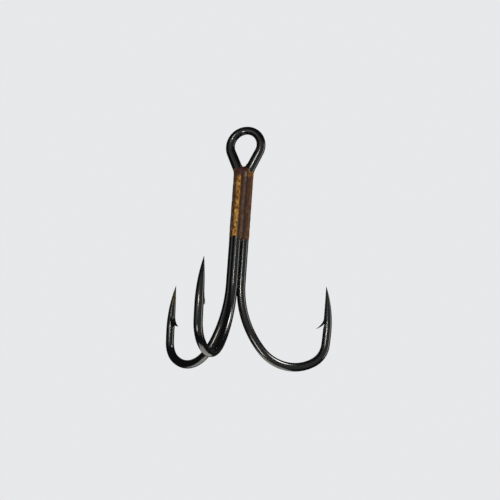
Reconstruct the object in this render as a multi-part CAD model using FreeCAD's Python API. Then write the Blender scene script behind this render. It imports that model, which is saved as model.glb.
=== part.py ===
import FreeCAD, Part
import math
import os

# Treble hook: a double hook bent from one wire, whose middle is the eye, and a single hook brazed into the
# groove in front of its two legs.  Millimetres and degrees.  +Z runs up the shank, the origin is the centre
# of the eye, the eye lies in the XZ plane, and the single hook's point is on the -Y side.

# Wire and the way the three shanks lie together
wire_dia = 1.75             # both hooks are bent from the same wire
leg_gap = 0.62              # clear space between the two legs of the double hook
seat_clearance = 0.04       # film of filler where the single hook touches each leg

# Eye and shank
eye_radius = 3.35           # centreline radius of the round top of the eye
eye_leg_lean = 25.5         # lean of the eye's legs towards each other
neck_radius = 5.3           # bend that turns each leg of the eye into the shank
shank_length = 29.3         # from the centre of the eye to the start of the flare

# Prong: four tangent arcs, then the point.  Headings are measured from straight down.
prong_pitch = 120.0         # angle from one prong to the next, seen along the shank
flare_radius = 19.36
flare_heading = 42.8
bend_radius = 8.5
bend_heading = 124.0
front_radius = 4.9
front_heading = 174.2
rise_radius = 43.6          # full wire above the front bend
rise_heading = 178.2
point_length = 9.2          # tapered stretch, from the end of the rise to the tip
point_curl = 12.1           # how far the point curves in towards the shank
tip_radius = 0.03

# Barb: a sliver cut from the inner side of the point and bent away from it
barb_from_tip = 6.75        # from the tip to the root of the barb
barb_length = 2.6
barb_rise = 36.0            # angle between the barb and the wire
barb_thickness = 0.42
notch_length = 2.3          # length of the scar that the cut leaves
barb_embed = 0.7            # how far the barb's root runs on inside the wire
barb_side_step = 0.09       # the sliver's round face is this much smaller in radius than the wire there

# Single hook's top end
single_end_rise = 0.4       # how far the single hook reaches above the top of the straight shank
end_chamfer = 0.35

# Braze filler
braze_length = 13.1         # from the top of the straight shank down to the lower end of the filler
braze_end_taper = 2.2       # length over which the lower end of each run thins out
front_fillet_radius = 1.1   # hollow face between the single hook and each leg
rear_fillet_radius = 1.3    # hollow face between the two legs at the back
crotch_rise = 1.86          # how far the filler between the eye's legs reaches above the straight shank
saddle_radius = 0.62        # hollow top of that filler
web_thickness = 1.15
collar_thickness = 0.12     # filler over the end of the single hook

# Derived sizes
wire_r = wire_dia / 2.0
lean = math.radians(eye_leg_lean)
leg_x = (wire_dia + leg_gap) / 2.0
seat_y = -math.sqrt((wire_dia + seat_clearance) ** 2 - leg_x ** 2)
shoulder_x = eye_radius * math.cos(lean)                        # where the round top meets the eye's leg
shoulder_z = -eye_radius * math.sin(lean)
neck_x = leg_x + neck_radius * (1.0 - math.cos(lean))
leg_run = (shoulder_x - neck_x) / math.sin(lean)                # straight length of the eye's leg
shank_top = shoulder_z - leg_run * math.cos(lean) - neck_radius * math.sin(lean)
braze_bottom = shank_top - braze_length
crotch_z = shank_top + crotch_rise
single_top = shank_top + single_end_rise
TIP_SECTIONS = 9
SCAR_SPARE = 0.08           # extra metal under the sliver, which cutting the scar takes off
SCAR_OVERRUN = 1.6          # the cut runs this many times as far as the barb's tip
UP = FreeCAD.Vector(0, 0, 1)
TWO_WIRES = 2.0 * wire_dia


def vec(x, y, z):
    return FreeCAD.Vector(x, y, z)


def rod(start, end):
    """Straight stretch of wire between two points of its centreline."""
    along = end - start
    return Part.makeCylinder(wire_r, along.Length, start, along)


def elbow(start, heading, centre, axis, angle):
    """Bent stretch of wire: a disc across the wire, turned about the centre of the bend."""
    disc = Part.Face(Part.Wire(Part.makeCircle(wire_r, start, heading)))
    return disc.revolve(centre, axis, angle)


def joined(solids):
    """One solid from stretches that meet face to face or overlap."""
    whole = solids[0].multiFuse(solids[1:])
    return whole.removeSplitter().Solids[0]


class ProngPlane:
    """Upright plane of one prong, holding the shank's centreline and turned by an azimuth about it."""

    def __init__(self, foot_x, foot_y, azimuth):
        turn = math.radians(azimuth)
        self.foot = vec(foot_x, foot_y, 0)
        self.out = vec(math.cos(turn), math.sin(turn), 0)
        self.axis = vec(math.sin(turn), -math.cos(turn), 0)

    def at(self, reach, height):
        return self.foot + self.out * reach + UP * height

    def heading(self, angle):
        """Unit vector along the wire; 0 is straight down and 90 straight out."""
        turn = math.radians(angle)
        return self.out * math.sin(turn) - UP * math.cos(turn)

    def towards_centre(self, angle):
        """Unit vector from the wire to the centre of a bend, square to its heading."""
        turn = math.radians(angle)
        return self.out * math.cos(turn) + UP * math.sin(turn)


def prong_bends(plane, start):
    """The flare, the bend, the front bend and the rise, and where they end."""
    solids = []
    here = start
    heading = 0.0
    for radius, end_heading in ((flare_radius, flare_heading), (bend_radius, bend_heading),
                                (front_radius, front_heading), (rise_radius, rise_heading)):
        centre = here + plane.towards_centre(heading) * radius
        solids.append(elbow(here, plane.heading(heading), centre, plane.axis, end_heading - heading))
        here = centre - plane.towards_centre(end_heading) * radius
        heading = end_heading
    return solids, here


def point_place(plane, base, from_base):
    """Centreline point and heading on the point's gentle arc, a distance up from its base."""
    arc_radius = point_length / math.radians(point_curl)
    heading = rise_heading + point_curl * from_base / point_length
    centre = base + plane.towards_centre(rise_heading) * arc_radius
    return centre - plane.towards_centre(heading) * arc_radius, heading


def taper_radius(from_base):
    """Ogive: the radius falls off with the square of the distance from the base."""
    share = from_base / point_length
    return tip_radius + (wire_r - tip_radius) * (1.0 - share ** 2)


def sharp_point(plane, base):
    """Tapered point, lofted through circles across its arc."""
    rings = []
    for i in range(TIP_SECTIONS):
        from_base = point_length * i / (TIP_SECTIONS - 1)
        place, heading = point_place(plane, base, from_base)
        rings.append(Part.Wire(Part.makeCircle(taper_radius(from_base), place, plane.heading(heading))))
    return Part.makeLoft(rings, True, False)


def slab(plane, corners):
    """Prism through the wire, drawn as a polygon in the prong's plane."""
    shifted = [corner - plane.axis * wire_dia for corner in corners]
    face = Part.Face(Part.makePolygon(shifted + [shifted[0]]))
    return face.extrude(plane.axis * TWO_WIRES)


def barbed_point(plane, base):
    """Sharp point with its barb: a round-faced sliver is added, then the scar under it is cut away.

    The scar's upper face is the barb's flat underside, so the barb thins out to its tip.
    """
    from_base = point_length - barb_from_tip
    place, heading = point_place(plane, base, from_base)
    down = plane.heading(heading) * -1.0
    inward = plane.towards_centre(heading)
    root = place + inward * taper_radius(from_base)
    rise = math.radians(barb_rise)
    along = down * math.cos(rise) + inward * math.sin(rise)
    outer = inward * math.cos(rise) - down * math.sin(rise)
    heel = root - along * barb_embed
    tip = root + along * barb_length
    skin_r = taper_radius(from_base) - barb_side_step
    raw_depth = barb_thickness + SCAR_SPARE
    skin = Part.makeCylinder(skin_r, barb_embed + barb_length, heel - outer * skin_r, along)
    sliver = skin.common(slab(plane, [heel + outer * skin_r, tip + outer * skin_r, tip - outer * SCAR_SPARE,
                                      root - outer * raw_depth, heel - outer * raw_depth]))
    floor = root - inward * barb_thickness
    beyond_tip = floor + (tip - floor) * SCAR_OVERRUN
    scar = slab(plane, [floor, root + down * notch_length, beyond_tip])
    return sharp_point(plane, base).fuse(sliver).cut(scar)


def prong(plane, start):
    """Everything below the straight shank of one prong, as loose solids that meet."""
    solids, base = prong_bends(plane, start)
    return solids + [barbed_point(plane, base)]


def half_eye():
    """Right half of the eye: half of its round top, a leg, its neck and the straight shank below it."""
    shoulder = vec(shoulder_x, 0, shoulder_z)
    up_round = vec(math.sin(lean), 0, math.cos(lean))
    ring = elbow(shoulder, up_round, vec(0, 0, 0), vec(0, -1, 0), 90.0 + eye_leg_lean)
    neck_top = shoulder - up_round * leg_run
    top = vec(leg_x, 0, shank_top)
    neck = elbow(neck_top, -up_round, top + vec(neck_radius, 0, 0), vec(0, -1, 0), eye_leg_lean)
    shank_end = vec(leg_x, 0, -shank_length)
    return [ring, rod(shoulder, neck_top), neck, rod(top, shank_end)], shank_end


def double_hook():
    """One wire: its middle is the eye, its ends are the two rear prongs, and its halves mirror each other."""
    solids, shank_end = half_eye()
    plane = ProngPlane(leg_x, 0, 90.0 - prong_pitch / 2.0)
    half = joined(solids + prong(plane, shank_end))
    other_half = half.mirror(vec(0, 0, 0), vec(1, 0, 0))
    return joined([half, other_half])


def single_hook():
    """Second wire: a plain chamfered end, a straight shank and the front prong."""
    plane = ProngPlane(0, seat_y, -90.0)
    chamfer_foot = plane.at(0, single_top - end_chamfer)
    chamfer = Part.makeCone(wire_r, wire_r - end_chamfer, end_chamfer, chamfer_foot, UP)
    start = plane.at(0, -shank_length)
    return joined([chamfer, rod(chamfer_foot, start)] + prong(plane, start))


def fillet_tool(centre, radius, vanish_radius):
    """Round bar that hollows a run of filler and widens at the bottom, so that the run thins out."""
    foot = vec(centre.x, centre.y, braze_bottom)
    bar = Part.makeCylinder(radius, braze_length, foot, UP)
    return bar.fuse(Part.makeCone(vanish_radius, radius, braze_end_taper, foot, UP))


def filler_run(corners, tool, wires):
    """Prism between the wires' centrelines, less the hollowing bar and the wires themselves."""
    raised = [vec(corner.x, corner.y, braze_bottom) for corner in corners]
    prism = Part.Face(Part.makePolygon(raised + [raised[0]])).extrude(UP * braze_length)
    run = prism.cut(tool)
    for wire in wires:
        run = run.cut(Part.makeCylinder(wire_r, braze_length, vec(wire.x, wire.y, braze_bottom), UP))
    return max(run.Solids, key=lambda solid: solid.Volume)


def front_fillet(side):
    """Filler between the single hook and one leg, hollow in front."""
    leg = vec(side * leg_x, 0, 0)
    single = vec(0, seat_y, 0)
    middle = (leg + single) * 0.5
    half = (leg - single).Length / 2.0
    stand_off = math.sqrt((wire_r + front_fillet_radius) ** 2 - half ** 2)
    away = vec(-seat_y * side, -leg_x, 0).normalize()
    centre = middle + away * stand_off
    tool = fillet_tool(centre, front_fillet_radius, stand_off)
    return filler_run([leg, single, centre], tool, [leg, single])


def rear_fill():
    """Filler between the two legs, behind the single hook, hollow at the back."""
    left = vec(-leg_x, 0, 0)
    right = vec(leg_x, 0, 0)
    single = vec(0, seat_y, 0)
    centre = vec(0, math.sqrt((wire_r + rear_fillet_radius) ** 2 - leg_x ** 2), 0)
    tool = fillet_tool(centre, rear_fillet_radius, centre.y)
    return filler_run([left, single, right, centre], tool, [left, single, right])


def crotch_cap(double, single):
    """Filler between the eye's legs, with a hollow top, and over the end of the single hook."""
    web_height = crotch_rise + saddle_radius * 0.5
    web_corner = vec(-leg_x, -web_thickness / 2.0, shank_top)
    web = Part.makeBox(2.0 * leg_x, web_thickness, web_height, web_corner)
    saddle_start = vec(0, -wire_dia, crotch_z + saddle_radius)
    web = web.cut(Part.makeCylinder(saddle_radius, TWO_WIRES, saddle_start, vec(0, 1, 0)))
    collar_r = wire_r + collar_thickness
    seat = vec(0, seat_y, shank_top)
    collar = Part.makeCylinder(collar_r, single_end_rise, seat, UP)
    crown = Part.makeSphere(collar_r, vec(0, seat_y, single_top))
    crown = crown.common(Part.makeCylinder(collar_r * 2.0, single_end_rise + collar_r, seat, UP))
    cap = web.fuse(collar).fuse(crown).cut(double).cut(single)
    return max(cap.Solids, key=lambda solid: solid.Volume)


def main():
    os.makedirs("parts", exist_ok=True)
    double = double_hook()
    single = single_hook()
    nodes = {
        "double_hook": double,
        "single_hook": single,
        "braze_left_fillet": front_fillet(-1),
        "braze_right_fillet": front_fillet(1),
        "braze_rear_fill": rear_fill(),
        "braze_crotch_cap": crotch_cap(double, single),
    }
    for name, shape in nodes.items():
        box = shape.BoundBox
        print(name, "valid", shape.isValid(), "solids", len(shape.Solids), "mm3 %.4f" % shape.Volume,
              "box", [round(v, 3) for v in (box.XMin, box.XMax, box.YMin, box.YMax, box.ZMin, box.ZMax)])
        shape.exportStep(os.path.join("parts", name + ".step"))


main()
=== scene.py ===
import bmesh
import bpy
import math
import numpy as np
from mathutils import Matrix, Vector

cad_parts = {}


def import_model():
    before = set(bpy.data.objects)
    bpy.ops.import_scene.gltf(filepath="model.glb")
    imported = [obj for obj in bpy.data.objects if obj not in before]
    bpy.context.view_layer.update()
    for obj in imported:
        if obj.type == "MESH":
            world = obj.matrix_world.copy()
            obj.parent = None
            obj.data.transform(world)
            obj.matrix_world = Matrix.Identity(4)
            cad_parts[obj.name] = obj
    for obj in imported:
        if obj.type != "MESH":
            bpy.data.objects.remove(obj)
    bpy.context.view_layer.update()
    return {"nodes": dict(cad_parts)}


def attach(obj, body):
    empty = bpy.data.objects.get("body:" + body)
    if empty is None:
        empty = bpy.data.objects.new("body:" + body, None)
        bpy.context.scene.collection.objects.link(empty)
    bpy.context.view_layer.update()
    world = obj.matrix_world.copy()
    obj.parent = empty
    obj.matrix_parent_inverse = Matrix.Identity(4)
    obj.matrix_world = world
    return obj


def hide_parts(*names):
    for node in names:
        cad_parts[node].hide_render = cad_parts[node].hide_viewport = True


# Treble hook: two brazed wires with a black finish, and the braze that joins them.  Metres and radians in
# the CAD frame: +Z runs up the shank, the origin is the centre of the eye, the single hook points to -Y.
MM = 0.001

# Wire, the same sizes as the CAD model's but for the squash of the eye
WIRE_R = 0.875 * MM
LEG_GAP = 0.62 * MM
SEAT_CLEARANCE = 0.04 * MM
EYE_R = 3.35 * MM
EYE_LEAN = math.radians(25.5)
NECK_R = 5.3 * MM
SHANK_LENGTH = 29.3 * MM
FLARE = (19.36 * MM, math.radians(42.8))            # radius of each arc, and the heading where it ends
BEND = (8.5 * MM, math.radians(124.0))
FRONT_BEND = (4.9 * MM, math.radians(174.2))
RISE = (43.6 * MM, math.radians(178.2))
POINT_LENGTH = 9.2 * MM
POINT_CURL = math.radians(12.1)
TIP_R = 0.03 * MM
SINGLE_END_RISE = 0.4 * MM
END_CHAMFER = 0.35 * MM
DOUBLE_AZIMUTH = math.radians(30.0)
SINGLE_AZIMUTH = math.radians(-90.0)
EYE_SQUASH = (0.93, 1.07, 1.14, 1.18, 1.0)          # in-plane thickness, from the eye's top to the neck

# Barb: a tongue sliced from the inside of the point and bent away
BARB_FROM_TIP = 6.75 * MM
BARB_LENGTH = 2.85 * MM
BARB_THICKNESS = 0.42 * MM
BARB_CURL = math.radians(50.0)                      # how far the tongue's tip has turned from the wire
BARB_CURL_POWER = 0.45
SCAR_LENGTH = 2.3 * MM
TONGUE_POWER = 2.5                                  # the tongue keeps its thickness till near its tip
SCAR_POWER = 1.6                                    # above 1 the scar is hollow, as a knife leaves it
RIGHT_WEAR = 0.25                                   # the left tip is the most worn, at 1
FRONT_WEAR = 0.35

# Braze
BRAZE_LENGTH = 13.1 * MM
CROTCH_RISE = 1.86 * MM
SADDLE_R = 0.62 * MM
FULL_GROOVE = 0.24 * MM                             # braze this far from every wire is all filler
BLEND_RATE = 2.9 / MM                               # the higher, the smaller the fillets between the wires
WEB_R = 0.25 * MM                                   # half the thickness of the braze between the legs
WEB_GROWTH = 0.2 * MM                               # and how much it gains up to the crotch
FILM = 0.045 * MM
FILM_RELIEF = 0.014 * MM
RELIEF_WAVES = (0.45 * MM, 1.6 * MM)
RAGGED_WAVES = (0.9 * MM, 3.5 * MM)
RELIEF_SEED = 11
RAGGED_SEED = 5
LOW_RAGGED = 0.2 * MM
LOW_DROP = 0.1 * MM
LOW_SLOPE = 0.35 * MM                               # the lower end comes further down on the right leg
HIGH_RAGGED = 0.12 * MM
HIGH_ARCH = 0.4 * MM                                # the upper end is lower on the legs than between them
HIGH_SLOPE = 0.9 * MM                               # and lowest at the right edge
DIVE_REACH = (-0.12 * MM, 0.3 * MM)                 # the film dives into the wires over this much height
LOW_DIVE = 0.16 * MM
HIGH_DIVE = 0.2 * MM
DEEP_DIVE = 0.3 * MM
DEEP_REACH = (0.2 * MM, 2.0 * MM)

# Derived places
LEG_X = WIRE_R + LEG_GAP / 2
SEAT_Y = -math.sqrt((2 * WIRE_R + SEAT_CLEARANCE) ** 2 - LEG_X ** 2)
SHOULDER_X = EYE_R * math.cos(EYE_LEAN)
NECK_X = LEG_X + NECK_R * (1 - math.cos(EYE_LEAN))
LEG_RUN = (SHOULDER_X - NECK_X) / math.sin(EYE_LEAN)
SHANK_TOP = -EYE_R * math.sin(EYE_LEAN) - LEG_RUN * math.cos(EYE_LEAN) - NECK_R * math.sin(EYE_LEAN)
SINGLE_TOP = SHANK_TOP + SINGLE_END_RISE
BRAZE_BOTTOM = SHANK_TOP - BRAZE_LENGTH
CROTCH_Z = SHANK_TOP + CROTCH_RISE

# Mesh fineness
AROUND = 80                                         # points round the wire
ROW_STEP = 0.25 * MM
SHANK_STEP = 0.8 * MM
FOLD_ROWS = 18                                      # rows in each part of a barb and its scar
TONGUE_POINTS = 201                                 # points of the running sum along a barb's crest
TIP_ROWS = 34                                       # rows from the barb's root to the tip
TIP_CROWDING = 1.4                                  # above 1 the rows are closer together near the tip
SHARP_ANGLE = math.radians(38)
MERGE_WITHIN = 1e-8
SHORTEST_EDGE = 1e-9
BRAZE_AROUND = 240
BRAZE_LEVELS = (90, 130, 70)                        # rings at the lower end, along the shank, in the crotch
LID_ROWS = 8
RAY_START = 3.0 * MM                                # each braze ray begins this far out
RAY_STEP = 0.06 * MM
RAY_HALVINGS = 14


def smooth_step(value, start, end):
    """3t^2 - 2t^3, where t is the share of the way from start to end, kept between 0 and 1."""
    t = np.clip((value - start) / (end - start), 0, 1)
    return t * t * (3 - 2 * t)


class WirePath:
    """Centreline of a wire in an upright plane: runs of steady curvature, each (length, heading at its end).

    The heading is 0 straight down and a quarter turn straight out.  Within a run it grows in proportion to
    the distance, so the place follows from the sine and cosine of the heading over the curvature.
    """

    def __init__(self, reach, height, heading, runs):
        self.marks = [0.0]
        self.headings = [heading]
        self.reaches = [reach]
        self.heights = [height]
        for length, end_heading in runs:
            curvature = (end_heading - self.headings[-1]) / length
            du, dz = self.step(self.headings[-1], curvature, length)
            self.reaches.append(self.reaches[-1] + float(du))
            self.heights.append(self.heights[-1] + float(dz))
            self.headings.append(end_heading)
            self.marks.append(self.marks[-1] + length)

    @staticmethod
    def step(heading, curvature, distance):
        """How far out and up a run goes: chord integrals of the heading's sine and cosine."""
        half_turn = curvature * distance / 2
        chord = distance * np.sinc(half_turn / np.pi)
        return chord * np.sin(heading + half_turn), -chord * np.cos(heading + half_turn)

    def place(self, distance):
        """Reach, height and heading at each distance along the wire; the ends run on straight."""
        marks = np.array(self.marks)
        run = np.clip(np.searchsorted(marks, distance, side="right") - 1, 0, len(marks) - 2)
        headings = np.array(self.headings)
        curvature = np.diff(headings) / np.diff(marks)
        along = distance - marks[run]
        du, dz = self.step(headings[run], curvature[run], along)
        heading = headings[run] + curvature[run] * along
        return np.array(self.reaches)[run] + du, np.array(self.heights)[run] + dz, heading

    def length(self):
        return self.marks[-1]


def prong_runs():
    """The four bends below a shank, and the point."""
    runs = []
    heading = 0.0
    for radius, end_heading in (FLARE, BEND, FRONT_BEND, RISE):
        runs.append((radius * (end_heading - heading), end_heading))
        heading = end_heading
    return runs + [(POINT_LENGTH, heading + POINT_CURL)]


def double_path():
    """Half of the double hook, from the top of the eye to a tip."""
    runs = [(EYE_R * (math.pi / 2 + EYE_LEAN), -EYE_LEAN), (LEG_RUN, -EYE_LEAN), (NECK_R * EYE_LEAN, 0.0),
            (SHANK_LENGTH + SHANK_TOP, 0.0)]
    return WirePath(0.0, EYE_R, math.pi / 2, runs + prong_runs())


def single_path():
    """The single hook, from its plain upper end to its tip."""
    return WirePath(0.0, SINGLE_TOP, 0.0, [(SHANK_LENGTH + SINGLE_TOP, 0.0)] + prong_runs())


def wire_points(path, foot, turn, distance, inward, side):
    """A point of the wire from its distance along it, and its offsets towards the inside of the bend and
    sideways: centreline + inward * n + side * b, where n lies in the wire's plane and b is square to it.
    The plane stands on the foot and turns about it by an angle that may change along the wire.
    """
    reach, height, heading = path.place(distance)
    out = reach - foot[0] + inward * np.cos(heading)
    x = foot[0] + out * np.cos(turn) - side * np.sin(turn)
    y = foot[1] + out * np.sin(turn) + side * np.cos(turn)
    z = height + inward * np.sin(heading)
    return np.stack([x, y, z], axis=-1)


def point_radius(path, distance):
    """The wire's radius: full to the point's base, then less by the square of the distance from it."""
    base = path.length() - POINT_LENGTH
    share = np.clip((distance - base) / POINT_LENGTH, 0, 1)
    return TIP_R + (WIRE_R - TIP_R) * (1 - share ** 2)


def tongue_line():
    """The barb's crest: its angle grows as a power of the distance, and its place is the running sum."""
    along = np.linspace(0, BARB_LENGTH, TONGUE_POINTS)
    angle = BARB_CURL * (along / BARB_LENGTH) ** BARB_CURL_POWER
    middle = (angle[1:] + angle[:-1]) / 2
    step = np.diff(along)
    down = np.concatenate([[0.0], np.cumsum(np.cos(middle) * step)])
    rise = np.concatenate([[0.0], np.cumsum(np.sin(middle) * step)])
    return along, angle, down, rise


def barb_rows(path, theta):
    """Rows of the wire's skin from below the scar to the barb's root: distance, inward and side offsets.

    The skin runs up the round wire to the edge of the slice, up the slice's flat floor, out along the flat
    underside of the tongue and back along its round top.  A column of the skin lies a drop of
    r (1 - cos theta) below the crest, and it leaves the round where the slice is just that deep.
    """
    root = path.length() - BARB_FROM_TIP
    root_r = point_radius(path, root)
    drop = root_r * (1 - np.cos(theta))
    left_over = np.clip(1 - drop / BARB_THICKNESS, 0, None)
    edge = left_over ** (1 / SCAR_POWER)
    share = np.linspace(0, 1, FOLD_ROWS)[:, None]
    below = SCAR_LENGTH * (1 + (edge - 1) * share)
    round_s = root - below
    round_r = point_radius(path, round_s)
    parts = [(round_s, round_r * np.cos(theta), round_r * np.sin(theta))]
    below = SCAR_LENGTH * edge * (1 - share)
    floor_s = root - below
    floor_r = point_radius(path, floor_s)
    depth = BARB_THICKNESS * (1 - (below / SCAR_LENGTH) ** SCAR_POWER)
    parts.append((floor_s, np.minimum(floor_r * np.cos(theta), floor_r - depth), floor_r * np.sin(theta)))
    along, angle, down, rise = tongue_line()
    out = BARB_LENGTH * left_over ** (1 / TONGUE_POWER) * share
    for reach, round_top in ((out, False), (out[::-1], True)):
        turned = np.interp(reach, along, angle)
        depth = BARB_THICKNESS * (1 - (reach / BARB_LENGTH) ** TONGUE_POWER)
        under = drop + 0 * reach if round_top else np.maximum(depth, drop)
        s = root - np.interp(reach, along, down) - under * np.sin(turned)
        a = root_r + np.interp(reach, along, rise) - under * np.cos(turned)
        parts.append((s, a, root_r * np.sin(theta) + 0 * reach))
    return [np.concatenate([part[i] for part in parts]) for i in range(3)]


def spaced(start, end, step):
    """Evenly spaced distances from start, short of end, no further apart than step."""
    count = max(2, int(math.ceil((end - start) / step)) + 1)
    return np.linspace(start, end, count)[:-1]


def skin(path, start_rows, in_plane):
    """The wire's whole skin as distance, inward and side offsets on a grid of rows and columns."""
    theta = np.linspace(0, 2 * np.pi, AROUND, endpoint=False)[None, :]
    root = path.length() - BARB_FROM_TIP
    scar_start = root - SCAR_LENGTH
    tip = path.length()
    below_scar = spaced(tip - POINT_LENGTH, scar_start, ROW_STEP)
    plain = np.concatenate([start_rows, below_scar])[:, None]
    upper_share = np.linspace(0, 1, TIP_ROWS)[1:, None]
    upper = root + (tip - root) * (1 - (1 - upper_share) ** TIP_CROWDING)
    grids = []
    for rows in (plain, upper):
        radius = point_radius(path, rows)
        grids.append((rows + 0 * theta, radius * in_plane(rows) * np.cos(theta), radius * np.sin(theta)))
    pole = np.full_like(theta, tip + TIP_R)
    grids.append((pole, 0 * pole, 0 * pole))
    grids.insert(1, barb_rows(path, theta))
    return [np.concatenate([grid[i] for grid in grids]) for i in range(3)]


def bend_rows(path, first_mark, last_mark):
    """Distances along the runs between two marks, closer together where the wire bends."""
    rows = []
    for i in range(first_mark, last_mark):
        straight = path.headings[i] == path.headings[i + 1]
        rows.append(spaced(path.marks[i], path.marks[i + 1], SHANK_STEP if straight else ROW_STEP))
    return np.concatenate(rows)


def closed_mesh(name, grid, values=None):
    """A mesh from a grid of points that closes on itself round each row, and at a pole at each end.

    Points that fall together are merged, so that a fold or a pole leaves no empty faces.
    """
    rows, columns = grid.shape[:2]
    index = np.arange(rows * columns).reshape(rows, columns)
    after = np.roll(index, -1, axis=1)
    faces = np.stack([index[:-1], after[:-1], after[1:], index[1:]], axis=-1).reshape(-1, 4)
    mesh = bpy.data.meshes.new(name)
    mesh.from_pydata(grid.reshape(-1, 3), [], faces)
    for key, value in (values or {}).items():
        layer = mesh.attributes.new(key, "FLOAT", "POINT")
        layer.data.foreach_set("value", np.broadcast_to(value, (rows, columns)).ravel().astype(np.float32))
    shell = bmesh.new()
    shell.from_mesh(mesh)
    bmesh.ops.remove_doubles(shell, verts=shell.verts, dist=MERGE_WITHIN)
    bmesh.ops.dissolve_degenerate(shell, edges=shell.edges, dist=SHORTEST_EDGE)
    if shell.calc_volume(signed=True) < 0:
        bmesh.ops.reverse_faces(shell, faces=shell.faces)
    shell.to_mesh(mesh)
    shell.free()
    mesh.shade_smooth()
    mesh.set_sharp_from_angle(angle=SHARP_ANGLE)
    piece = bpy.data.objects.new(name, mesh)
    bpy.context.scene.collection.objects.link(piece)
    return piece


def tip_wear(path, distance):
    """1 at the tip, falling to 0 at the barb's root."""
    return smooth_step(distance, path.length() - BARB_FROM_TIP, path.length())


def double_hook():
    """One wire from tip to tip: the right half's skin, and the left half as its mirror image in reverse."""
    path = double_path()
    squash_marks = [0.0, EYE_R * math.pi / 2] + path.marks[1:4]

    def in_plane(distance):
        """Bending squeezes the eye's wire: its thickness in the eye's plane, between given marks."""
        return np.interp(distance, squash_marks, EYE_SQUASH)

    distance, inward, side = skin(path, bend_rows(path, 0, 8), in_plane)
    turn = DOUBLE_AZIMUTH * smooth_step(distance, path.marks[3], path.marks[4])
    right = wire_points(path, (LEG_X, 0.0), turn, distance, inward, side)
    left = right[:0:-1] * np.array([-1.0, 1.0, 1.0])
    wear = tip_wear(path, distance)
    worn = np.concatenate([wear[:0:-1], RIGHT_WEAR * wear])
    return closed_mesh("double_hook_wire", np.concatenate([left, right]), {"wear": worn})


def single_hook():
    """The second wire, with a chamfered upper end."""
    path = single_path()
    distance, inward, side = skin(path, bend_rows(path, 0, 5), lambda distance: 1.0)
    chamfer = np.array([[0.0], [END_CHAMFER]]) + 0 * distance[:1]
    shrink = np.array([[1 - END_CHAMFER / WIRE_R], [1.0]])
    distance = np.concatenate([0 * distance[:1], chamfer, distance[1:]])
    inward = np.concatenate([0 * inward[:1], shrink * inward[:1], inward[1:]])
    side = np.concatenate([0 * side[:1], shrink * side[:1], side[1:]])
    grid = wire_points(path, (0.0, SEAT_Y), SINGLE_AZIMUTH, distance, inward, side)
    return closed_mesh("single_hook_wire", grid, {"wear": FRONT_WEAR * tip_wear(path, distance)})


def leg_line(z):
    """Reach and lean of an eye leg's centreline at a height: a circle's arc above the straight shank."""
    neck_top = SHANK_TOP + NECK_R * math.sin(EYE_LEAN)
    lean = np.arcsin(np.clip((z - SHANK_TOP) / NECK_R, 0, math.sin(EYE_LEAN)))
    above = np.clip(z - neck_top, 0, None)
    return LEG_X + NECK_R * (1 - np.cos(lean)) + above * math.tan(EYE_LEAN), lean


def bundle_distances(x, y, z):
    """Distances from a point to the skins of the two legs, the single hook and the web between the legs."""
    leg_x, lean = leg_line(z)
    left = np.hypot((x + leg_x) * np.cos(lean), y) - WIRE_R
    right = np.hypot((x - leg_x) * np.cos(lean), y) - WIRE_R
    above = np.clip(z - SINGLE_TOP, 0, None)
    single = np.sqrt(x ** 2 + (y - SEAT_Y) ** 2 + above ** 2) - WIRE_R
    web_r = WEB_R + WEB_GROWTH * smooth_step(z, SHANK_TOP, CROTCH_Z)
    web = np.hypot(np.clip(np.abs(x) - (leg_x - LEG_X), 0, None), y) - web_r
    return left, right, single, web


def ripple(x, y, z, seed, finest, coarsest, waves=48):
    """Even, repeatable noise from about -1 to 1: a sum of plane waves with drawn directions and phases."""
    draw = np.random.default_rng(seed)
    total = 0 * (x + y + z)
    for _ in range(waves):
        direction = draw.normal(size=3)
        direction /= np.linalg.norm(direction)
        length = finest * (coarsest / finest) ** draw.random()
        phase = draw.random() * 2 * np.pi
        total = total + np.sin((x * direction[0] + y * direction[1] + z * direction[2]) * 2 * np.pi / length
                               + phase)
    return total / math.sqrt(waves / 2)


def film_depth(x, y, z):
    """Thickness of the braze over the wires: an uneven film that dives into them past its ragged ends."""
    ragged = ripple(x, y, 0 * z, RAGGED_SEED, *RAGGED_WAVES)
    low_end = BRAZE_BOTTOM + LOW_RAGGED * ragged - LOW_DROP - LOW_SLOPE * smooth_step(x, 0, LEG_X)
    high_end = CROTCH_Z - HIGH_RAGGED * ragged - HIGH_ARCH * smooth_step(np.abs(x), 0.3 * MM, 0.8 * MM)
    high_end = high_end - HIGH_SLOPE * smooth_step(x, LEG_X - 0.1 * MM, LEG_X + 0.6 * MM)
    relief = FILM_RELIEF * ripple(x, y, z, RELIEF_SEED, *RELIEF_WAVES)
    sunk = LOW_DIVE * smooth_step(low_end - z, *DIVE_REACH)
    sunk = sunk + DEEP_DIVE * smooth_step(low_end - z, *DEEP_REACH)
    sunk = sunk + HIGH_DIVE * smooth_step(z - high_end, *DIVE_REACH)
    return FILM + relief - sunk


def saddle_rise(x):
    """How far a round saddle of radius R stands above its lowest line at x: R - sqrt(R^2 - x^2)."""
    return SADDLE_R - np.sqrt(SADDLE_R ** 2 - np.clip(np.abs(x), 0, SADDLE_R) ** 2)


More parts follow.
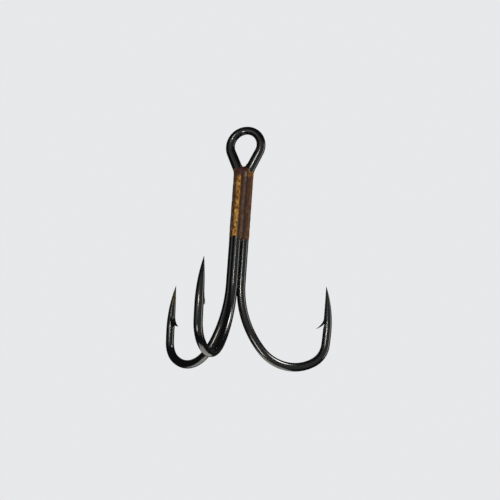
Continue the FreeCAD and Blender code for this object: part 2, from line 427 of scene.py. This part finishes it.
def braze():
    """Braze round the three wires, as rays from the middle of the bundle at each height.

    Each ray runs to where the smooth union of the wires' skins, -log(sum exp(-k d)) / k, equals the
    thickness of the film.  It is found by stepping in from outside, then halving.
    """
    heights = (BRAZE_BOTTOM - 2.2 * MM, BRAZE_BOTTOM + 1.5 * MM, SHANK_TOP - 0.5 * MM, CROTCH_Z)
    levels = [np.linspace(*ends) for ends in zip(heights[:-1], heights[1:], BRAZE_LEVELS)]
    level = np.concatenate([levels[0][:-1], levels[1][:-1], levels[2]])[:, None]
    phi = np.linspace(0, 2 * np.pi, BRAZE_AROUND, endpoint=False)[None, :]
    centre_y = SEAT_Y / 3 * (1 - smooth_step(level, SINGLE_TOP, CROTCH_Z))

    def place(reach):
        """A ray's point; the top of the web hangs between the eye's legs like a round saddle."""
        x = reach * np.cos(phi)
        y = centre_y + reach * np.sin(phi)
        return x, y, level + saddle_rise(x) * smooth_step(level, CROTCH_Z - 0.9 * MM, CROTCH_Z)

    def outside(reach):
        """Whether each ray's point is still outside the film."""
        x, y, z = place(reach)
        total = sum(np.exp(-BLEND_RATE * d) for d in bundle_distances(x, y, z))
        return -np.log(total) / BLEND_RATE - film_depth(x, y, z) > 0

    near = np.full((len(level), BRAZE_AROUND), RAY_START)
    seeking = np.ones(near.shape, bool)
    while seeking.any():
        near = np.where(seeking, near - RAY_STEP, near)
        seeking = seeking & outside(near) & (near > RAY_STEP)
    low, high = near, near + RAY_STEP
    for _ in range(RAY_HALVINGS):
        middle = (low + high) / 2
        out = outside(middle)
        low, high = np.where(out, low, middle), np.where(out, middle, high)
    x, y, z = place(high)
    fill = np.clip(np.min(bundle_distances(x, y, z)[:3], axis=0) / FULL_GROOVE, 0, 1)
    shares = np.linspace(1, 0, LID_ROWS)[1:, None]

    def lid(row, rise):
        """Rows that close an end: the end row drawn in to its middle, flat or on the saddle."""
        across = x[[row]] * shares
        deep = centre_y[row] + (y[[row]] - centre_y[row]) * shares
        return np.stack([across, deep, level[row] + rise(across)], axis=-1)

    bottom = lid(0, np.zeros_like)
    closed = np.concatenate([bottom[::-1], np.stack([x, y, z], axis=-1), lid(-1, saddle_rise)])
    plain = np.ones(bottom.shape[:2])
    filled = np.concatenate([plain, fill, plain])
    return closed_mesh("braze_filler", closed, {"fill": filled})


# ---------------------------------------------------------------------------------------------- materials

NICKEL_COOL = (0.190, 0.197, 0.195)
NICKEL_WARM = (0.225, 0.210, 0.198)
NICKEL_SPECK = (0.13, 0.118, 0.105)
WORN_STEEL = ((0.05, 0.035, 0.02), (0.30, 0.26, 0.15), (0.5, 0.44, 0.28))
GOLD = ((0.12, 0.045, 0.007), (0.46, 0.205, 0.025), (0.90, 0.52, 0.14))
# Brown of burnt brass, also painted shade on the side of the braze away from the left-hand light
BURNT_AND_SHADED = ((0.065, 0.016, 0.006), (0.105, 0.037, 0.007), (0.16, 0.072, 0.017))
# Painted dark reflection in a band right of the front wire's crest
PAINTED_DARK_REFLECTION = (0.028, 0.014, 0.012)
# Painted shade deep in the grooves between the wires
GROOVE_PAINTED_SHADE = (0.03, 0.013, 0.010)
GRAIN_SOOT = (0.035, 0.022, 0.012)
CROTCH_MAROON = (0.07, 0.022, 0.022)
FLOOR_TONES = ((0.78, 0.78, 0.77), (0.82, 0.82, 0.81))


class Nodes:
    """A material's node tree, with short calls for the nodes that the finishes share."""

    def __init__(self, name):
        self.material = bpy.data.materials.new(name)
        self.material.use_nodes = True
        self.tree = self.material.node_tree
        self.shader = self.tree.nodes["Principled BSDF"]
        self.place = self.new("ShaderNodeTexCoord").outputs["Object"]

    def new(self, kind, **settings):
        node = self.tree.nodes.new(kind)
        for key, value in settings.items():
            setattr(node, key, value)
        return node

    def link(self, source, socket):
        self.tree.links.new(source, socket)

    def noise(self, feature, detail=3.0, roughness=0.55, stretch=(1, 1, 1)):
        """Noise whose lumps are about one feature across, in metres."""
        mapping = self.new("ShaderNodeMapping")
        mapping.inputs["Scale"].default_value = stretch
        self.link(self.place, mapping.inputs["Vector"])
        node = self.new("ShaderNodeTexNoise")
        node.inputs["Scale"].default_value = 1 / feature
        node.inputs["Detail"].default_value = detail
        node.inputs["Roughness"].default_value = roughness
        self.link(mapping.outputs["Vector"], node.inputs["Vector"])
        return node.outputs["Fac"]

    def ramp(self, source, *stops):
        """Colour ramp from (position, value) stops; a value is a grey level or a colour."""
        node = self.new("ShaderNodeValToRGB")
        elements = node.color_ramp.elements
        while len(elements) < len(stops):
            elements.new(0.5)
        for element, (position, value) in zip(elements, stops):
            colour = (value, value, value) if isinstance(value, (int, float)) else value
            element.position = position
            element.color = (*colour, 1)
        self.link(source, node.inputs["Fac"])
        return node.outputs["Color"]

    def maths(self, operation, *values, clamp=False):
        node = self.new("ShaderNodeMath", operation=operation, use_clamp=clamp)
        for socket, value in zip(node.inputs, values):
            if isinstance(value, (int, float)):
                socket.default_value = value
            else:
                self.link(value, socket)
        return node.outputs["Value"]

    def mix(self, share, a, b):
        node = self.new("ShaderNodeMix", data_type="RGBA")
        for socket, value in ((node.inputs["Factor"], share), (node.inputs["A"], a), (node.inputs["B"], b)):
            if isinstance(value, (int, float)):
                socket.default_value = value
            elif isinstance(value, tuple):
                socket.default_value = (*value, 1)
            else:
                self.link(value, socket)
        return node.outputs["Result"]

    def attribute(self, name):
        return self.new("ShaderNodeAttribute", attribute_name=name).outputs["Fac"]

    def bump(self, height, depth, strength=1.0, under=None):
        node = self.new("ShaderNodeBump")
        node.inputs["Strength"].default_value = strength
        node.inputs["Distance"].default_value = depth
        self.link(height, node.inputs["Height"])
        if under is not None:
            self.link(under, node.inputs["Normal"])
        return node.outputs["Normal"]


def black_nickel():
    """Dark bright plating: smoky grey, browner in patches, with faint specks and worn olive points."""
    m = Nodes("black_nickel")
    patches = m.noise(2.6 * MM, detail=1)
    specks = m.noise(0.3 * MM, detail=4, roughness=0.65)
    plate = m.ramp(patches, (0.35, NICKEL_COOL), (0.7, NICKEL_WARM))
    plate = m.mix(m.ramp(specks, (0.64, 0.0), (0.76, 0.2)), plate, NICKEL_SPECK)
    flaked = m.noise(0.5 * MM, detail=6, roughness=0.75)
    bare = m.ramp(flaked, *zip((0.35, 0.55, 0.75), WORN_STEEL))
    worn = m.maths("MULTIPLY", m.attribute("wear"), 1.6)
    worn = m.maths("SUBTRACT", m.maths("ADD", worn, flaked), 0.95, clamp=True)
    worn = m.maths("MULTIPLY", worn, 3.0, clamp=True)
    m.link(m.mix(worn, plate, bare), m.shader.inputs["Base Color"])
    rough = m.maths("MULTIPLY_ADD", patches, 0.08, 0.14)
    rough = m.maths("ADD", rough, m.ramp(specks, (0.6, 0.0), (0.78, 0.05)))
    rough = m.maths("ADD", rough, m.maths("MULTIPLY", worn, 0.25))
    m.link(rough, m.shader.inputs["Roughness"])
    m.shader.inputs["Metallic"].default_value = 1.0
    pits = m.bump(specks, 0.0003 * MM, 0.5)
    m.link(m.bump(patches, 0.008 * MM, 0.5, pits), m.shader.inputs["Normal"])
    return m.material


def burnt_braze():
    """Brass filler: gold on the left of the front wire, partly bare brass and partly painted light; burnt
    brown, partly painted shade, and maroon elsewhere.
    """
    m = Nodes("burnt_braze")
    blotches = m.noise(0.8 * MM, detail=5, roughness=0.6)
    streaks = m.noise(0.6 * MM, detail=4, roughness=0.6, stretch=(1, 1, 0.3))
    grains = m.noise(0.28 * MM, detail=5, roughness=0.7)
    gold = m.ramp(blotches, *zip((0.40, 0.5, 0.64), GOLD))
    brown = m.ramp(streaks, *zip((0.34, 0.5, 0.68), BURNT_AND_SHADED))
    axes = m.new("ShaderNodeSeparateXYZ")
    m.link(m.place, axes.inputs["Vector"])
    wander = m.maths("MULTIPLY", m.maths("SUBTRACT", blotches, 0.5), 0.9 * MM)
    side = m.maths("ADD", axes.outputs["X"], wander)
    height = m.maths("ADD", axes.outputs["Z"], wander)

    def beyond(source, edge, width):
        """0 below the edge, 1 once past it by the width; a negative width turns it round."""
        return m.maths("MULTIPLY_ADD", source, 1 / width, -edge / width, clamp=True)

    # Gold left of the front wire's crest is partly bare brass and partly painted light from the left; the
    # brown is partly painted shade
    lit_left_of_crest = beyond(side, 0.35 * MM, -0.25 * MM)
    # Painted reflection of the dark surroundings, in a band right of the front wire's crest
    dark_reflection_band = m.maths("MULTIPLY", beyond(side, 0.25 * MM, 0.15 * MM), beyond(side, 0.8 * MM, -0.2 * MM))
    rim = beyond(side, -1.05 * MM, -0.3 * MM)
    below_pool = beyond(height, SHANK_TOP - 0.1 * MM, -0.5 * MM)
    on_legs = beyond(m.maths("ABSOLUTE", side), 0.75 * MM, 0.3 * MM)
    above_pool = m.maths("SUBTRACT", 1.0, below_pool)
    bare = m.maths("MULTIPLY", lit_left_of_crest, below_pool)
    bare_legs = m.maths("MULTIPLY", m.maths("MULTIPLY", above_pool, on_legs), 0.6)
    bare = m.maths("ADD", bare, bare_legs, clamp=True)
    bare = m.maths("MULTIPLY", bare, m.maths("SUBTRACT", 1.0, m.maths("MULTIPLY", rim, 0.9)))
    # Gold for bare brass and its lit left side, brown for burnt brass and painted shade
    colour = m.mix(bare, brown, gold)
    # Paints that dark reflection
    colour = m.mix(m.maths("MULTIPLY", dark_reflection_band, 0.75), colour, PAINTED_DARK_REFLECTION)
    pool = m.maths("MULTIPLY", above_pool, m.maths("SUBTRACT", 1.0, on_legs))
    colour = m.mix(m.maths("MULTIPLY", pool, 0.8), colour, CROTCH_MAROON)
    # Painted shade where the braze lies deepest in the grooves between the wires
    groove_shade = m.ramp(m.attribute("fill"), (0.3, 0.0), (0.8, 0.8))
    colour = m.mix(groove_shade, colour, GROOVE_PAINTED_SHADE)
    colour = m.mix(m.ramp(grains, (0.56, 0.0), (0.66, 0.65)), colour, GRAIN_SOOT)
    m.link(colour, m.shader.inputs["Base Color"])
    m.link(m.ramp(grains, (0.3, 0.25), (0.7, 0.42)), m.shader.inputs["Roughness"])
    m.link(m.ramp(bare, (0.0, 0.25), (1.0, 0.5)), m.shader.inputs["Metallic"])
    m.shader.inputs["Specular IOR Level"].default_value = 0.85
    fine = m.bump(grains, 0.008 * MM, 0.6)
    m.link(m.bump(blotches, 0.03 * MM, 0.5, fine), m.shader.inputs["Normal"])
    return m.material


def pale_floor():
    """Matt off-white with wide, very faint clouds."""
    m = Nodes("pale_floor")
    tone = m.ramp(m.noise(50 * MM, detail=2), *zip((0.3, 0.7), FLOOR_TONES))
    m.link(tone, m.shader.inputs["Base Color"])
    m.shader.inputs["Roughness"].default_value = 0.8
    return m.material


# ------------------------------------------------------------------------------------- camera and studio

CAMERA_AZIMUTH = math.radians(18.7)
CAMERA_ELEVATION = math.radians(-12.77)
CAMERA_ROLL = math.radians(3.99)
CAMERA_DISTANCE = 242.95 * MM
FOCAL_LENGTH = 85.73                                # in Blender's millimetres of lens and sensor
SENSOR_WIDTH = 36.0
NEAREST = 0.01
FARTHEST = 10.0
AIM = Vector((0, 0, -22.25 * MM))                   # near the hook's middle
AIM_SIDE = 2.41 * MM
FLOOR_Z = -110 * MM
FLOOR_HALF = 3.0
RIGHT_BEND = Vector((7.0, 4.0, -43.0)) * MM         # close to the right prong, where its flare ends
FRONT_TURN = Vector((0.0, -14.0, -45.5)) * MM       # in the single hook, just past its lowest part
SURROUND = (0.80, 0.81, 0.82, 1)
SURROUND_IN_GLOSS = (0.02, 0.02, 0.022, 1)


def view_axes():
    """The camera's right, up and forward directions."""
    level = Vector((-math.sin(CAMERA_AZIMUTH), math.cos(CAMERA_AZIMUTH), 0))
    across = Vector((math.cos(CAMERA_AZIMUTH), math.sin(CAMERA_AZIMUTH), 0))
    forward = level * math.cos(CAMERA_ELEVATION) - Vector((0, 0, math.sin(CAMERA_ELEVATION)))
    upright = Vector((0, 0, math.cos(CAMERA_ELEVATION))) + level * math.sin(CAMERA_ELEVATION)
    right = across * math.cos(CAMERA_ROLL) + upright * math.sin(CAMERA_ROLL)
    up = upright * math.cos(CAMERA_ROLL) - across * math.sin(CAMERA_ROLL)
    return right, up, forward


def add_camera():
    """A long lens that looks up at the hook from slightly to its right."""
    right, up, forward = view_axes()
    lens = bpy.data.cameras.new("camera")
    lens.lens = FOCAL_LENGTH
    lens.sensor_width = SENSOR_WIDTH
    lens.clip_start = NEAREST
    lens.clip_end = FARTHEST
    camera = bpy.data.objects.new("camera", lens)
    turned = Matrix((right, up, -forward)).transposed().to_4x4()
    camera.matrix_world = Matrix.Translation(AIM + right * AIM_SIDE - forward * CAMERA_DISTANCE) @ turned
    bpy.context.scene.collection.objects.link(camera)
    bpy.context.scene.camera = camera


def soft_box(name, to_right, to_up, width, height, radiance, tint=(1, 1, 1), distance=0.5, target=AIM,
             spread=180):
    """Rectangular light that faces its target, placed by its angles from the line to the camera.

    A spread under 180 degrees acts as a grid in front of it.  Blender then brightens its axis by
    tan h / (tan h - h), where h is half the spread, so the power is divided by that.
    """
    right, up, forward = view_axes()
    a, e = math.radians(to_right), math.radians(to_up)
    away = (right * math.sin(a) - forward * math.cos(a)) * math.cos(e) + up * math.sin(e)
    light = bpy.data.lights.new(name, "AREA")
    light.shape = "RECTANGLE"
    light.size = width
    light.size_y = height
    light.energy = radiance * math.pi * width * height
    if spread < 180:
        half = math.radians(spread / 2)
        light.spread = 2 * half
        light.energy *= (math.tan(half) - half) / math.tan(half)
    light.color = tint
    lamp = bpy.data.objects.new(name, light)
    lamp.location = target + away * distance
    lamp.rotation_mode = "QUATERNION"
    lamp.rotation_quaternion = (-away).to_track_quat("-Z", "Y")
    lamp.visible_camera = False
    bpy.context.scene.collection.objects.link(lamp)
    return lamp


def studio():
    """Soft boxes round the hook, a big lamp overhead for the floor, and a pale surround.

    The wash and the overhead lamp light surfaces without showing in the wire, and the surround is dim in
    reflections, so that the wire stays dark between its highlights.
    """
    soft_box("front_fill", 0, 0, 1.3, 0.9, 0.085, distance=0.4)
    soft_box("left_dim", -47, 0, 0.12, 0.5, 0.22, (0.92, 1.0, 0.95))
    soft_box("right_grey", 88, 0, 0.20, 0.45, 1.0)
    soft_box("right_high", 66, 50, 0.034, 0.034, 14, distance=0.08, target=RIGHT_BEND, spread=24)
    soft_box("left_low", -28, -22, 0.09, 0.16, 5, (1.0, 0.93, 0.84))
    soft_box("upper_left", -16, 21, 0.09, 0.03, 16, (1.0, 0.98, 0.93))
    soft_box("below_behind", 180, -62, 0.034, 0.034, 0.9, (1.0, 0.99, 0.92), distance=0.03,
             target=FRONT_TURN)
    left_wash = soft_box("left_wash", -55, 12, 0.3, 0.4, 0.9, (1.0, 0.95, 0.88))
    overhead = soft_box("overhead", 0, 75, 0.8, 0.8, 0.4)
    for lamp in (left_wash, overhead):
        lamp.visible_glossy = False
    world = bpy.data.worlds.new("surround")
    bpy.context.scene.world = world
    world.use_nodes = True
    tree = world.node_tree
    plain = tree.nodes["Background"]
    plain.inputs["Color"].default_value = SURROUND
    dim = tree.nodes.new("ShaderNodeBackground")
    dim.inputs["Color"].default_value = SURROUND_IN_GLOSS
    choice = tree.nodes.new("ShaderNodeMixShader")
    path = tree.nodes.new("ShaderNodeLightPath")
    tree.links.new(path.outputs["Is Glossy Ray"], choice.inputs["Fac"])
    tree.links.new(plain.outputs["Background"], choice.inputs[1])
    tree.links.new(dim.outputs["Background"], choice.inputs[2])
    tree.links.new(choice.outputs["Shader"], tree.nodes["World Output"].inputs["Surface"])
    bpy.context.scene.view_settings.view_transform = "Standard"


def add_floor():
    mesh = bpy.data.meshes.new("floor")
    corners = [(FLOOR_HALF * x, FLOOR_HALF * y, FLOOR_Z) for x, y in ((-1, -1), (1, -1), (1, 1), (-1, 1))]
    mesh.from_pydata(corners, [], [(0, 1, 2, 3)])
    floor = bpy.data.objects.new("floor", mesh)
    bpy.context.scene.collection.objects.link(floor)
    mesh.materials.append(pale_floor())
    floor.visible_glossy = False


def main():
    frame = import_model()
    braze_nodes = [name for name in frame["nodes"] if name.startswith("braze")]
    wire_finish = black_nickel()
    braze_finish = burnt_braze()
    shapes = ((double_hook(), wire_finish, "hook_wire", ("double_hook",)),
              (single_hook(), wire_finish, "hook_wire", ("single_hook",)),
              (braze(), braze_finish, "braze", braze_nodes))
    for piece, finish, slot, nodes in shapes:
        piece.data.materials.append(finish)
        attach(piece, "root")
        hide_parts(*nodes)
    add_floor()
    studio()
    add_camera()
    bpy.context.view_layer.update()


main()
